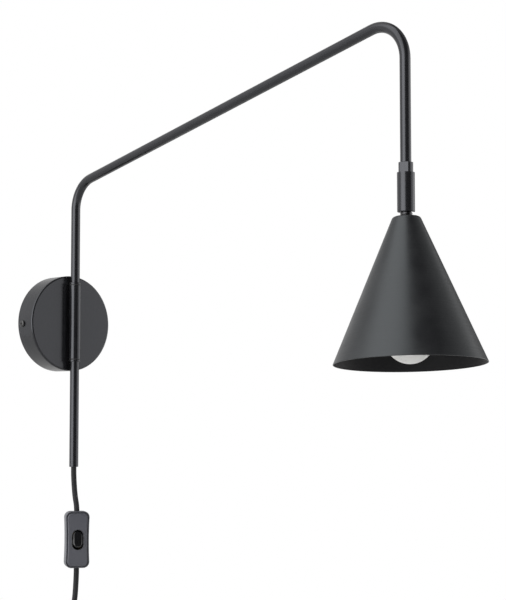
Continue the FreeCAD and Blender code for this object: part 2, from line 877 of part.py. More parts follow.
def make_switch_screws():
    half = switch_thickness / 2
    screws = []
    for x, y in post_places():
        head = cylinder(shell_screw_head_radius, shell_screw_head_height, vector(x, y, -half), up)
        slot = Part.makeBox(2 * shell_screw_head_radius, shell_screw_slot_width, shell_screw_slot_depth,
                            vector(x - shell_screw_head_radius, y - shell_screw_slot_width / 2, -half))
        shank = cylinder(shell_screw_radius, shell_screw_length, vector(x, y, -half), up)
        screws.append(in_switch(head.fuse(shank).cut(slot)))
    return Part.makeCompound(screws)


def make_rocker():
    """Two shallow ramps that meet at the middle, rocked so that the upper end is pressed in."""
    width = rocker_opening_width - 2 * rocker_side_gap
    length = rocker_opening_length - 2 * rocker_end_gap
    top = rocker_pivot_depth + rocker_stand
    plan = slot_prism(length, width, 4 * top, vector(0, 0, 0), vector(0, 1, 0), up)
    half = length / 2 + cut_margin
    side = [vector(-width, -half, -rocker_end_depth), vector(-width, 0, -rocker_body_depth),
            vector(-width, half, -rocker_end_depth), vector(-width, half, top + rocker_end_rise),
            vector(-width, 0, top - rocker_dip), vector(-width, -half, top + rocker_end_rise)]
    edges = [Part.LineSegment(side[0], side[1]).toShape(), Part.LineSegment(side[1], side[2]).toShape(),
             Part.LineSegment(side[2], side[3]).toShape(), Part.Arc(side[3], side[4], side[5]).toShape(),
             Part.LineSegment(side[5], side[0]).toShape()]
    body = Part.Face(Part.Wire(edges)).extrude(vector(2 * width, 0, 0)).common(plan)
    pin_length = rocker_opening_width + 2 * rocker_pin_overhang
    body = body.fuse(cylinder(rocker_pin_radius, pin_length, vector(-pin_length / 2, 0, 0), vector(1, 0, 0)))
    body.rotate(vector(0, 0, 0), vector(1, 0, 0), -rocker_angle)
    body.translate(vector(0, 0, rocker_pivot()))
    return in_switch(body.removeSplitter())


def terminal_places():
    x = switch_width / 2 - switch_wall - terminal_width - terminal_gap
    y = switch_length / 2 - switch_wall - terminal_length - cord_entry_depth
    return [(-x, y), (x - terminal_width, -y - terminal_length)]


def terminal_floor():
    return switch_wall - switch_thickness / 2


def make_terminals():
    blocks = []
    for x, y in terminal_places():
        block = Part.makeBox(terminal_width, terminal_length, terminal_height,
                             vector(x, y, terminal_floor()))
        start = vector(x + terminal_width / 2, y - cut_margin, terminal_floor() + terminal_hole_height)
        wire_hole = cylinder(terminal_hole_radius, terminal_length + 2 * cut_margin, start, vector(0, 1, 0))
        blocks.append(in_switch(block.cut(wire_hole)))
    return Part.makeCompound(blocks)


def make_contact_strips():
    """A strip on top of each terminal, reaching under the rocker's end."""
    strips = []
    for x, y in terminal_places():
        middle = y + terminal_length / 2
        reach = abs(middle) - contact_strip_end
        low_y = contact_strip_end if middle > 0 else middle
        low_x = x + terminal_width / 2 - contact_strip_width / 2
        strips.append(in_switch(Part.makeBox(contact_strip_width, reach, contact_strip_thickness,
                                             vector(low_x, low_y, terminal_floor() + terminal_height))))
    return Part.makeCompound(strips)


def in_hank(shape):
    """The hank is built round the origin with X across it, and hangs flat along the way the cord bows."""
    turn = FreeCAD.Rotation(vector(1, 0, 0), bow_direction)
    shape.Placement = FreeCAD.Placement(at_pivot(hank_top_height - hank_length / 2), turn)
    return shape


def make_hank():
    """The outside of a wound hank, pulled in at its tied waist."""
    end_radius = hank_width / 2
    waist = hank_waist_width / 2
    low = hank_waist_length / 2
    half_length = hank_length / 2
    shoulder = half_length - end_radius

    def point(x, z):
        return vector(x, -hank_thickness / 2, z)

    edges = []
    for end in (1, -1):
        a, b = point(end * waist, end * low), point(end * end_radius, end * shoulder)
        c, d = point(-end * end_radius, end * shoulder), point(-end * waist, end * low)
        edges.append(Part.LineSegment(a, b).toShape())
        edges.append(Part.Arc(b, point(0, end * half_length), c).toShape())
        edges.append(Part.LineSegment(c, d).toShape())
        edges.append(Part.LineSegment(d, point(-end * waist, -end * low)).toShape())
    return in_hank(Part.Face(Part.Wire(edges)).extrude(vector(0, hank_thickness, 0)))


def make_tie():
    """A flat strap round the hank's waist."""
    tie = centred_box(hank_waist_width + 2 * tie_thickness, hank_thickness + 2 * tie_thickness, tie_height)
    return in_hank(tie.cut(centred_box(hank_waist_width, hank_thickness, tie_height + 2 * cut_margin)))


def plug_face():
    return plug_top_height - plug_relief_length - plug_body_length


def make_plug_body():
    relief = Part.makeCone(plug_relief_base_radius, plug_relief_top_radius, plug_relief_length,
                           at_pivot(plug_top_height - plug_relief_length))
    body = slot_prism(plug_body_width, plug_body_thickness, plug_body_length,
                      at_pivot(plug_face() + plug_body_length / 2), vector(1, 0, 0), up)
    plug = body.fuse(relief)
    for side in (-1, 1):
        root = vector(side * plug_pin_spacing / 2, pivot_y, plug_face() - cut_margin)
        plug = plug.cut(cylinder(plug_pin_core_radius, plug_pin_root + cut_margin, root))
    return plug


def make_plug_pins():
    pins = []
    for side in (-1, 1):
        tip = vector(side * plug_pin_spacing / 2, pivot_y, plug_face() - plug_pin_length)
        bare = plug_pin_length - plug_sleeve_length
        radius = plug_pin_diameter / 2
        corner = (radius - plug_pin_round, plug_pin_round)
        pin = turned((0, 0), (corner[0], 0), (on_arc(corner, plug_pin_round, -45), (radius, corner[1])),
                     (radius, bare), (0, bare))
        pin.translate(tip)
        core = cylinder(plug_pin_core_radius, plug_sleeve_length + plug_pin_root, tip + up * bare)
        pins.append(pin.fuse(core))
    return Part.makeCompound(pins)


def make_pin_sleeves():
    sleeves = [ring(plug_pin_diameter / 2, plug_pin_core_radius, plug_sleeve_length,
                    vector(side * plug_pin_spacing / 2, pivot_y, plug_face() - plug_sleeve_length))
               for side in (-1, 1)]
    return Part.makeCompound(sleeves)


def write(node, shape):
    solids = shape.Solids
    if not shape.isValid() or not solids:
        raise RuntimeError(node + " isn't a valid solid")
    result = solids[0] if len(solids) == 1 else Part.makeCompound(solids)
    result.exportStep("parts/" + node + ".step")
    box = result.BoundBox
    print(node, len(solids), round(result.Volume), "x %.1f..%.1f y %.1f..%.1f z %.1f..%.1f" % (
        box.XMin, box.XMax, box.YMin, box.YMax, box.ZMin, box.ZMax))


def main():
    os.makedirs("parts", exist_ok=True)
    write("canopy_cover", make_canopy())
    write("wall_bracket", make_wall_bracket())
    write("canopy_side_screws", make_side_screws())
    write("pivot_sleeve", make_sleeve())
    write("sleeve_weld", make_weld())
    write("upper_bush", make_bush(sleeve_top - bush_length))
    write("lower_bush", make_bush(sleeve_bottom))
    write("upper_thrust_washer", make_thrust_washer(sleeve_top))
    write("lower_thrust_washer", make_thrust_washer(sleeve_bottom - washer_thickness))

    ring_gap = washer_thickness + axial_play
    write("arm_tube", make_arm_tube())
    write("upper_stop_ring", make_stop_ring(sleeve_top + ring_gap))
    write("lower_stop_ring", make_stop_ring(sleeve_bottom - ring_gap - stop_ring_length))
    write("cord_exit_bush", make_exit_bush())
    write("inner_cable", make_inner_cable())
    write("swivel_collar", make_swivel_collar())
    write("swivel_retaining_nut", make_retaining_nut())

    write("swivel_barrel", make_barrel())
    write("barrel_top_ring", make_top_ring())
    write("spring_plate", make_spring_plate())
    write("disc_springs", make_disc_springs())
    write("ball_seat", make_ball_seat())

    write("ball_stem", make_ball_stem())
    write("shade", make_shade())
    write("shade_lock_washer", make_lock_washer())
    write("shade_lock_nut", make_lock_nut())
    write("lampholder_cap", make_holder_cap())
    write("lampholder_body", make_holder_body())
    write("lampholder_screw_shell", make_screw_shell())
    write("lampholder_contact", make_holder_contact())
    write("head_cable", make_head_cable())
    write("lamp_wires", make_lamp_wires())
    write("bulb_globe", make_bulb_globe())
    write("bulb_housing", make_bulb_housing())
    write("bulb_screw_cap", make_bulb_cap())
    write("bulb_tip_contact", make_bulb_tip())

    write("cord_upper", cord_rod("cord_upper", [beside_pivot(*place) for place in upper_cord_route]))
    write("switch_front_shell", make_switch_front())
    write("switch_back_shell", make_switch_back())
    write("switch_screws", make_switch_screws())
    write("switch_terminals", make_terminals())
    write("switch_contact_strips", make_contact_strips())
    write("switch_rocker", make_rocker())
    write("cord_lower", cord_rod("cord_lower", [beside_pivot(*place) for place in lower_cord_route]))
    write("cord_hank", make_hank())
    write("hank_tie", make_tie())
    write("cord_tail", cord_rod("cord_tail", [beside_pivot(*place) for place in tail_cord_route]))
    write("plug_body", make_plug_body())
    write("plug_pins", make_plug_pins())
    write("plug_pin_sleeves", make_pin_sleeves())


main()
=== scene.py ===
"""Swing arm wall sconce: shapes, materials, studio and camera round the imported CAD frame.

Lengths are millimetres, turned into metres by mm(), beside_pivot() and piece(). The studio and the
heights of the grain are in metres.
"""
import json
import math

import bmesh
import bpy
from mathutils import Matrix, Vector


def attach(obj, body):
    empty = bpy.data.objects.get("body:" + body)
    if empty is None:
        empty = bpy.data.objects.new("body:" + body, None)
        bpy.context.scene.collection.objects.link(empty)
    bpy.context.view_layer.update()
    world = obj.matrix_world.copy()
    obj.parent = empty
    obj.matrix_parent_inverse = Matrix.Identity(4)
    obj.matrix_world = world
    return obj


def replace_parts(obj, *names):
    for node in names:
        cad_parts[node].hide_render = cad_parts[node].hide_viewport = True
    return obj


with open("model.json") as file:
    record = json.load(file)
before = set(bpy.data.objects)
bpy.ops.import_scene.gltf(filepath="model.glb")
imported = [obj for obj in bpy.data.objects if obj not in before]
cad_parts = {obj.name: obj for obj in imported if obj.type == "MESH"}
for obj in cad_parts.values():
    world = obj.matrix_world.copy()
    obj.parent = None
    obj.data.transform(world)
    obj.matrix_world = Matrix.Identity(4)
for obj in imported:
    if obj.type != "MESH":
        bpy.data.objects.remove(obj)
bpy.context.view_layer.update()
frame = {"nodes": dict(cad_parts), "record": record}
nodes = frame["nodes"]

MM = 0.001

# The canopy, the pivot and the arm, as the CAD has them
CANOPY_RADIUS = 53.2
CANOPY_DEPTH = 26.5
SHEET_WALL = 1.2
PIVOT_Y = -33.35
HEAD_Y = -528.35
SLEEVE_RADIUS = 6.5
SLEEVE_BORE_RADIUS = 5.5
SLEEVE_BOTTOM = -40.05
SLEEVE_TOP = 42.45
RING_GAP = 0.6
RING_LENGTH = 2.4
TUBE_RADIUS = 5.0
TUBE_BORE_RADIUS = 4.0
TAIL_END = -159.7
FIRST_CORNER = 154.4
SECOND_CORNER = FIRST_CORNER + 495.0 * math.tan(math.radians(12.0))
DROP_END = 123.0
BEND_RADIUS = 34.0

# The weld: a section of (across, deep) carried up in rows, with ripples that swell its sides
WELD_BOTTOM = -36.0
WELD_ROWS = 151
WELD_ROW_PITCH = 0.5
WELD_SECTION = ((-2.1, 0.3), (-2.45, 0.0), (-2.0, -0.55), (-2.3, -1.1),
                (2.3, -1.1), (2.0, -0.55), (2.45, 0.0), (2.1, 0.3))
WELD_DEPTH_SHARE = 0.9
WELD_SWELL = 0.22
WELD_RIPPLE = 0.9
WELD_END_PINCH = 0.8

# The head, measured down from the centre of its ball; its leans are in degrees
HEAD_LEAN_OUT = 3.8
HEAD_LEAN_ASIDE = 2.5
BALL_HEIGHT = 85.65
BALL_RADIUS = 6.5
NECK_RADIUS = 4.7
SHOULDER_RADIUS = 5.5
STEM_RADIUS = 4.0
STEM_BORE_RADIUS = 3.25
SHADE_TOP = -12.0
SHADE_RIM = -144.0
SHADE_TOP_RADIUS = 12.4
SHADE_RIM_RADIUS = 68.7
HOLDER_TOP = SHADE_TOP - 28.0
HOLDER_RADIUS = 13.0
HOLDER_CAP_LENGTH = 12.0
HOLDER_LENGTH = 48.0
BULB_RADIUS = 22.5
BULB_CENTRE = SHADE_RIM + BULB_RADIUS
BULB_TOP = SHADE_RIM + 78.0
BULB_GLASS = 1.2
BULB_JOIN_DEGREES = 28.0
BULB_BASE_HEIGHT = 20.0
BULB_BASE_TOP_RADIUS = 8.5
THREAD_RADIUS = 6.9
THREAD_ROOT = 6.45
THREAD_PITCH = 2.4

# The hanging cord, as (offset along the way it bows, height) beside the pivot axis
CORD_DIAMETER = 6.0
BOW = Vector((0.7344, -0.6787, 0.0))
UPPER_ROUTE = [(0.0, -159.7), (0.0, -168.0), (0.7, -180.0), (1.7, -192.0), (3.9, -204.0), (3.9, -214.5)]
LOWER_ROUTE = [(3.9, -264.5), (3.9, -275.6), (3.4, -288.6), (2.6, -302.1), (1.0, -313.6),
               (-6.5, -326.5), (-17.0, -338.0), (-23.8, -350.0)]
TAIL_ROUTE = [(-23.4, -426.5), (-17.0, -438.5), (-6.5, -450.5), (0.0, -462.5), (0.0, -476.0)]

# The hank: two nested turns in each of three layers
HANK_TOP = -332.0
HANK_LENGTH = 112.0
OUTER_TURN = 24.7
INNER_TURN = 18.6
WAIST_BEND = 20.0
EASE_OFFSET = 24.4
EASE_HEIGHT = 27.0
LAYER_PITCH = 6.15
TIE_WIDTH = 35.0
TIE_DEPTH = 18.4

# Switch and plug
SWITCH_TURN = math.radians(28.0)
SWITCH_OFFSET = 3.9
SWITCH_MIDDLE = -239.5
SWITCH_WIDTH = 27.4
SWITCH_LENGTH = 62.0
SWITCH_THICKNESS = 16.0
SWITCH_CORNER = 7.0
SWITCH_WAIST = 1.0
SWITCH_WALL = 1.6
OPENING_WIDTH = 11.6
SWITCH_GROOVE = 2.2
OPENING_LENGTH = 21.0
ROCKER_PIVOT = 4.4
ROCKER_SIDE_GAP = 0.8
ROCKER_END_GAP = 2.2
ROCKER_UNDERSIDE = -3.2
ROCKER_FACE = 3.0
ROCKER_DISH = 0.0085
ROCKER_PRESS_DEGREES = -12.0
PLUG_TOP = -476.0
PLUG_RELIEF = 22.0
PLUG_LENGTH = 26.0
PLUG_HALF_WIDTH = 17.5
PLUG_HALF_DEPTH = 6.85
PLUG_GROOVES = 5
PLUG_GROOVE_START = 5.0
PLUG_GROOVE_PITCH = 3.0
RELIEF_BORE = 3.05
RELIEF_RADIUS = 5.6
RELIEF_TAPER = 2.0
RELIEF_RIDGES = 7
RELIEF_RIDGE_PITCH = 2.9

# How finely round shapes are stepped
BEND_STEPS = 24
BALL_STEPS = 24
LOOP_STEPS = 9
CORNER_TURNS = ((1, 1, 0), (-1, 1, 90), (-1, -1, 180), (1, -1, 270))


def mm(value):
    return value * MM


def beside_pivot(offset, height, deep=0.0):
    """A point beside the pivot axis: along the bow, up, and square to both."""
    square = Vector((-BOW.y, BOW.x, 0.0))
    return (Vector((0.0, PIVOT_Y, height)) + BOW * offset + square * deep) * MM


# ---------------------------------------------------------------- shapes

def rounded(corners, steps=5):
    """A closed outline of (radius, height) corners; a third number rounds that corner off."""
    made = []
    for index, corner in enumerate(corners):
        place = Vector(corner[:2])
        if len(corner) == 2:
            made.append(place)
            continue
        before = (Vector(corners[index - 1][:2]) - place).normalized()
        after = (Vector(corners[(index + 1) % len(corners)][:2]) - place).normalized()
        half = before.angle(after) / 2
        centre = place + (before + after).normalized() * (corner[2] / math.sin(half))
        first = place + before * (corner[2] / math.tan(half)) - centre
        last = place + after * (corner[2] / math.tan(half)) - centre
        sweep = first.angle(last)
        for step in range(steps + 1):
            share = step / steps
            made.append(centre + (first * math.sin((1 - share) * sweep) + last * math.sin(share * sweep))
                        / math.sin(sweep))
    return [tuple(place) for place in made]


def skin(shape, rings, closed=False):
    """Faces between neighbouring rings of vertices; a ring of one vertex is a point."""
    pairs = list(zip(rings, rings[1:])) + ([(rings[-1], rings[0])] if closed else [])
    for a, b in pairs:
        count = max(len(a), len(b))
        for step in range(count):
            after = (step + 1) % count
            corners = []
            for ring_of_verts, places in ((a, (step, after)), (b, (after, step))):
                if len(ring_of_verts) == 1:
                    corners.append(ring_of_verts[0])
                else:
                    corners += [ring_of_verts[place] for place in places]
            if len(corners) > 2:
                shape.faces.new(corners)


def closed_skin(shape, rings):
    """A skin whose first and last rings are filled in."""
    skin(shape, rings)
    shape.faces.new(rings[0])
    shape.faces.new(rings[-1])


def lathe(outline, segments=128):
    """Spin a closed outline of (radius, height) round Z."""
    shape = bmesh.new()
    rings = []
    for radius, height in outline:
        if radius < 1e-6:
            rings.append([shape.verts.new((0.0, 0.0, height))])
            continue
        rings.append([shape.verts.new((radius * math.cos(2 * math.pi * step / segments),
                                       radius * math.sin(2 * math.pi * step / segments), height))
                      for step in range(segments)])
    skin(shape, rings, closed=True)
    return shape


def piece(name, shape, body, slot, place=Matrix.Identity(4), replaced=(), sharp=35.0, extra=(), local=False,
          finish=None):
    """Turn a shape in millimetres into a smooth piece of the part that rides on a body."""
    bmesh.ops.remove_doubles(shape, verts=shape.verts, dist=1e-5)
    bmesh.ops.recalc_face_normals(shape, faces=shape.faces)
    shape.transform(Matrix.Scale(MM, 4) if local else Matrix.Scale(MM, 4) @ place)
    mesh = bpy.data.meshes.new(name)
    shape.to_mesh(mesh)
    shape.free()
    mesh.materials.append(materials[finish or slot])
    for other in extra:
        mesh.materials.append(materials[other])
    mesh.polygons.foreach_set("use_smooth", [True] * len(mesh.polygons))
    mesh.set_sharp_from_angle(angle=math.radians(sharp))
    made = bpy.data.objects.new(name, mesh)
    if local:
        made.matrix_world = Matrix.Translation(place.translation * MM) @ place.to_3x3().to_4x4()
    bpy.context.collection.objects.link(made)
    flats = made.modifiers.new("flats_stay_flat", "WEIGHTED_NORMAL")
    flats.mode = "FACE_AREA"
    flats.weight = 80
    flats.keep_sharp = True
    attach(made, body)
    if replaced:
        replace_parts(made, *replaced)
    return made


# ---------------------------------------------------------------- materials

def node_tree(material):
    material.use_nodes = True
    tree = material.node_tree
    tree.nodes.clear()
    output = tree.nodes.new("ShaderNodeOutputMaterial")
    shader = tree.nodes.new("ShaderNodeBsdfPrincipled")
    tree.links.new(shader.outputs["BSDF"], output.inputs["Surface"])
    return tree, shader


def noise(tree, scale, detail, stretch=(1.0, 1.0, 1.0)):
    """Noise in the part's own metres, so that the grain stays put on the surface."""
    place = tree.nodes.new("ShaderNodeTexCoord")
    mapping = tree.nodes.new("ShaderNodeMapping")
    mapping.inputs["Scale"].default_value = stretch
    texture = tree.nodes.new("ShaderNodeTexNoise")
    texture.inputs["Scale"].default_value = scale
    texture.inputs["Detail"].default_value = detail
    tree.links.new(place.outputs["Object"], mapping.inputs["Vector"])
    tree.links.new(mapping.outputs["Vector"], texture.inputs["Vector"])
    return texture.outputs["Fac"]


def spread(tree, source, low, high):
    """The noise, stretched to run from low to high."""
    ramp = tree.nodes.new("ShaderNodeMapRange")
    ramp.inputs["From Min"].default_value = 0.3
    ramp.inputs["From Max"].default_value = 0.7
    ramp.inputs["To Min"].default_value = low
    ramp.inputs["To Max"].default_value = high
    tree.links.new(source, ramp.inputs["Value"])
    return ramp.outputs["Result"]


def tint(tree, source, dark, light):
    mix = tree.nodes.new("ShaderNodeMix")
    mix.data_type = "RGBA"
    mix.inputs["A"].default_value = (*dark, 1.0)
    mix.inputs["B"].default_value = (*light, 1.0)
    tree.links.new(source, mix.inputs["Factor"])
    return mix.outputs["Result"]


def bump(tree, shader, source, height, strength=1.0):
    node = tree.nodes.new("ShaderNodeBump")
    node.inputs["Strength"].default_value = strength
    node.inputs["Distance"].default_value = height
    tree.links.new(source, node.inputs["Height"])
    tree.links.new(node.outputs["Normal"], shader.inputs["Normal"])


# Tints of the gloss, which the studio leaves a little cool
COOL_SHEEN = (0.91, 0.93, 1.0, 1.0)
SHADE_SHEEN = (0.90, 0.97, 1.0, 1.0)


def finish_material(name, dark, light, rough, grain, grain_height, metal=0.0,
                    stretch=(1.0, 1.0, 1.0), specular=0.5, wear_scale=45.0, sheen=None):
    """A surface with a fine grain in its bump, and colour and gloss that wander slowly."""
    material = bpy.data.materials.new(name)
    tree, shader = node_tree(material)
    slow = noise(tree, wear_scale, 4.0)
    fine = noise(tree, grain, 2.0, stretch)
    tree.links.new(tint(tree, spread(tree, slow, 0.0, 1.0), dark, light), shader.inputs["Base Color"])
    tree.links.new(spread(tree, slow, rough[0], rough[1]), shader.inputs["Roughness"])
    shader.inputs["Metallic"].default_value = metal
    shader.inputs["Specular IOR Level"].default_value = specular
    if sheen:
        shader.inputs["Specular Tint"].default_value = sheen
    bump(tree, shader, fine, grain_height)
    return material


def make_materials():
    made = {
        "black_powder_coat": finish_material(
            "black_powder_coat", (0.007, 0.007, 0.008), (0.010, 0.010, 0.011), (0.20, 0.25), 1400.0,
                                             0.000003,
            sheen=COOL_SHEEN),
        "shade_coat": finish_material(
            "shade_coat", (0.008, 0.008, 0.009), (0.012, 0.012, 0.013), (0.33, 0.40), 300.0, 0.00014,
            stretch=(0.12, 0.12, 2.4), sheen=SHADE_SHEEN),
        "zinc_steel": finish_material(
            "zinc_steel", (0.50, 0.50, 0.49), (0.66, 0.66, 0.64), (0.24, 0.36), 700.0, 0.000010, metal=1.0),
        "black_screw": finish_material(
            "black_screw", (0.05, 0.05, 0.05), (0.07, 0.07, 0.07), (0.10, 0.15), 900.0, 0.000002,
                                       metal=0.8),
        "nylon": finish_material(
            "nylon", (0.030, 0.030, 0.030), (0.045, 0.045, 0.045), (0.42, 0.52), 600.0, 0.00001),
        "cord_sheath": finish_material(
            "cord_sheath", (0.019, 0.019, 0.020), (0.027, 0.027, 0.029), (0.50, 0.60), 900.0, 0.00002,
            specular=0.12),
        "switch_plastic": finish_material(
            "switch_plastic", (0.072, 0.074, 0.087), (0.084, 0.086, 0.100), (0.36, 0.44), 1500.0, 0.00002),
        "rocker_plastic": finish_material(
            "rocker_plastic", (0.004, 0.004, 0.005), (0.007, 0.007, 0.008), (0.07, 0.12), 800.0, 0.000001),
        "brass_contact": finish_material(
            "brass_contact", (0.62, 0.44, 0.18), (0.74, 0.56, 0.27), (0.26, 0.38), 700.0, 0.00001,
                                         metal=1.0),
        "holder_plastic": finish_material(
            "holder_plastic", (0.020, 0.020, 0.020), (0.030, 0.030, 0.030), (0.34, 0.44), 900.0, 0.00002),
        "bulb_white": finish_material(
            "bulb_white", (0.74, 0.74, 0.72), (0.80, 0.80, 0.78), (0.38, 0.46), 600.0, 0.00001),
        "nickel": finish_material(
            "nickel", (0.62, 0.60, 0.55), (0.72, 0.70, 0.66), (0.20, 0.30), 700.0, 0.00001, metal=1.0),
        "plug_plastic": finish_material(
            "plug_plastic", (0.022, 0.022, 0.023), (0.032, 0.032, 0.034), (0.40, 0.50), 1100.0, 0.00003),
    }
    made["turned_coat"] = finish_material(
        "turned_coat", (0.007, 0.007, 0.008), (0.010, 0.010, 0.011), (0.15, 0.19), 1400.0, 0.000002,
        sheen=COOL_SHEEN)
    made["blackened_steel"] = finish_material(
        "blackened_steel", (0.045, 0.045, 0.048), (0.065, 0.065, 0.068), (0.26, 0.34), 900.0, 0.000003,
                                              metal=1.0)
    made["shade_inside"] = finish_material(
        "shade_inside", (0.008, 0.008, 0.009), (0.011, 0.011, 0.012), (0.42, 0.52), 500.0, 0.000015,
                                           specular=0.12)
    opal = finish_material("bulb_opal", (0.66, 0.655, 0.64), (0.71, 0.705, 0.69), (0.26, 0.32), 800.0,
                           0.00001)
    shader = next(n for n in opal.node_tree.nodes if n.type == "BSDF_PRINCIPLED")
    shader.inputs["Subsurface Weight"].default_value = 0.25
    shader.inputs["Subsurface Radius"].default_value = (0.02, 0.02, 0.02)
    shader.inputs["Subsurface Scale"].default_value = 0.3
    made["bulb_opal"] = opal
    return made


materials = make_materials()


def dress_cad_nodes():
    """Each CAD node that stays in view takes its slot's finish."""
    slots = {part["node"]: part["material_slot"] for part in frame["record"]["subparts"]}
    for name, node in nodes.items():
        node.data.materials.clear()
        node.data.materials.append(materials[slots[name]])
        for face in node.data.polygons:
            face.material_index = 0


# ---------------------------------------------------------------- cords

def nurbs(name, points, diameter):
    curve = bpy.data.curves.new(name, "CURVE")
    curve.dimensions = "3D"
    curve.resolution_u = 10
    curve.bevel_depth = mm(diameter / 2)
    curve.bevel_resolution = 6
    curve.use_fill_caps = True
    spline = curve.splines.new("NURBS")
    spline.points.add(len(points) - 1)
    for place, target in zip(points, spline.points):
        target.co = (*place, 1.0)
    spline.order_u = 3
    spline.use_endpoint_u = True
    curve.materials.append(materials["cord_sheath"])
    cord = bpy.data.objects.new(name, curve)
    bpy.context.collection.objects.link(cord)
    return cord


def hank_points():
    """Five and a half turns: each loop lies in its own place, and the left strands move on by one."""
    ring_of_places = [("outer", 0), ("outer", -1), ("inner", -1), ("inner", 0), ("inner", 1), ("outer", 1)]
    half = HANK_LENGTH / 2
    middle = HANK_TOP - half
    shoulder = half - (OUTER_TURN + CORD_DIAMETER / 2)
    turn_radius = {"outer": OUTER_TURN, "inner": INNER_TURN}
    centres = OUTER_TURN + WAIST_BEND
    past_side = math.asin(shoulder / centres)
    waist_centre = math.sqrt(centres ** 2 - shoulder ** 2)

    def strand(side, start, end, heading):
        """Down or up one side of the waist, from one place to the next."""
        spacing = 2 * past_side / 3
        made = []
        for step, share in ((1, 0.25), (0, 0.5), (-1, 0.75)):
            bend = centres - turn_radius[start[0]] * (1 - share) - turn_radius[end[0]] * share
            bend /= math.cos(spacing / 2)
            layer = start[1] * (1 - share) + end[1] * share
            made.append(beside_pivot(side * (waist_centre - bend * math.cos(step * spacing)),
                                     middle + heading * bend * math.sin(step * spacing),
                                     layer * LAYER_PITCH))
        return made

    def loop(place, end, first_side):
        """Round one end, from one side to the other."""
        column, layer = place
        spacing = (math.pi + 2 * past_side) / LOOP_STEPS
        radius = turn_radius[column] / math.cos(spacing / 2)
        made = []
        for step in range(LOOP_STEPS):
            angle = spacing * (step + 0.5) - past_side
            made.append(beside_pivot(first_side * radius * math.cos(angle),
                                     middle + end * (shoulder + radius * math.sin(angle)),
                                     layer * LAYER_PITCH))
        return made

    made = [beside_pivot(-EASE_OFFSET, middle + EASE_HEIGHT)]
    for turn in range(6):
        here = ring_of_places[turn]
        after = ring_of_places[(turn + 1) % 6]
        made += strand(-1, here, after, 1)
        if turn < 5:
            made += loop(after, -1, -1)
            made += strand(1, after, after, -1)
            made += loop(after, 1, 1)
    return made + [beside_pivot(-EASE_OFFSET, middle - EASE_HEIGHT)]


def make_cords():
    upper = nurbs("flex_upper", [beside_pivot(*place) for place in UPPER_ROUTE], CORD_DIAMETER)
    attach(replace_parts(upper, "cord_upper"), "arm")
    lower_points = [beside_pivot(*place) for place in LOWER_ROUTE]
    tail_points = [beside_pivot(*place) for place in TAIL_ROUTE]
    lead = nurbs("flex_lead", lower_points + hank_points() + tail_points, CORD_DIAMETER)
    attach(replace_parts(lead, "cord_lower", "cord_hank", "cord_tail"), "arm")
    return upper, lead


# ---------------------------------------------------------------- the lamp's own pieces

def at(x, y, z):
    return Matrix.Translation((x, y, z))


def head_frame():
    """The head leans a little from straight down, about the centre of its ball."""
    lean = Matrix.Rotation(-math.radians(HEAD_LEAN_OUT), 4, "X") @ Matrix.Rotation(
        math.radians(HEAD_LEAN_ASIDE), 4, "Y")
    return at(0.0, HEAD_Y, BALL_HEIGHT) @ lean


def make_canopy():
    outline = rounded([(0.0, CANOPY_DEPTH - SHEET_WALL),
                       (CANOPY_RADIUS - SHEET_WALL, CANOPY_DEPTH - SHEET_WALL, 0.8),
                       (CANOPY_RADIUS - SHEET_WALL, 0.0), (CANOPY_RADIUS, 0.0, 0.3),
                       (CANOPY_RADIUS, CANOPY_DEPTH, 2.0), (0.0, CANOPY_DEPTH)], steps=8)
    piece("canopy_shell", lathe(outline, 256), "canopy", "black_powder_coat",
          Matrix.Rotation(math.radians(90), 4, "X"), ["canopy_cover"], sharp=50.0)


def make_sleeve():
    outline = rounded([(SLEEVE_BORE_RADIUS, SLEEVE_BOTTOM), (SLEEVE_RADIUS, SLEEVE_BOTTOM, 0.4),
                       (SLEEVE_RADIUS, SLEEVE_TOP, 0.4), (SLEEVE_BORE_RADIUS, SLEEVE_TOP)])
    piece("sleeve_turned", lathe(outline, 96), "canopy", "black_powder_coat", at(0.0, PIVOT_Y, 0.0),
          ["pivot_sleeve"], sharp=50.0, finish="turned_coat")
    for name, node, bottom in (("upper_collar_ring", "upper_stop_ring", SLEEVE_TOP + RING_GAP),
                               ("lower_collar_ring", "lower_stop_ring",
                                SLEEVE_BOTTOM - RING_GAP - RING_LENGTH)):
        outline = rounded([(TUBE_RADIUS, 0.0), (SLEEVE_RADIUS, 0.0, 0.35),
                           (SLEEVE_RADIUS, RING_LENGTH, 0.6),
                           (TUBE_RADIUS, RING_LENGTH)])
        piece(name, lathe(outline, 96), "arm", "black_powder_coat", at(0.0, PIVOT_Y, bottom), [node],
              sharp=50.0)


def make_weld():
    """A bead down each side of the line where the sleeve meets the canopy, laid in short ripples."""
    shape = bmesh.new()
    rings = []
    for row in range(WELD_ROWS):
        height = WELD_BOTTOM + WELD_ROW_PITCH * row
        swell = WELD_SWELL * abs(math.sin(WELD_RIPPLE * height))
        if row in (0, WELD_ROWS - 1):
            swell = -WELD_END_PINCH
        ring_of_verts = []
        for across, deep in WELD_SECTION:
            side = 1 if across > 0 else -1
            ring_of_verts.append(shape.verts.new((across + side * swell,
                                                  -CANOPY_DEPTH + deep * WELD_DEPTH_SHARE, height)))
        rings.append(ring_of_verts)
    closed_skin(shape, rings)
    piece("weld_bead", shape, "canopy", "black_powder_coat", replaced=["sleeve_weld"], sharp=70.0)


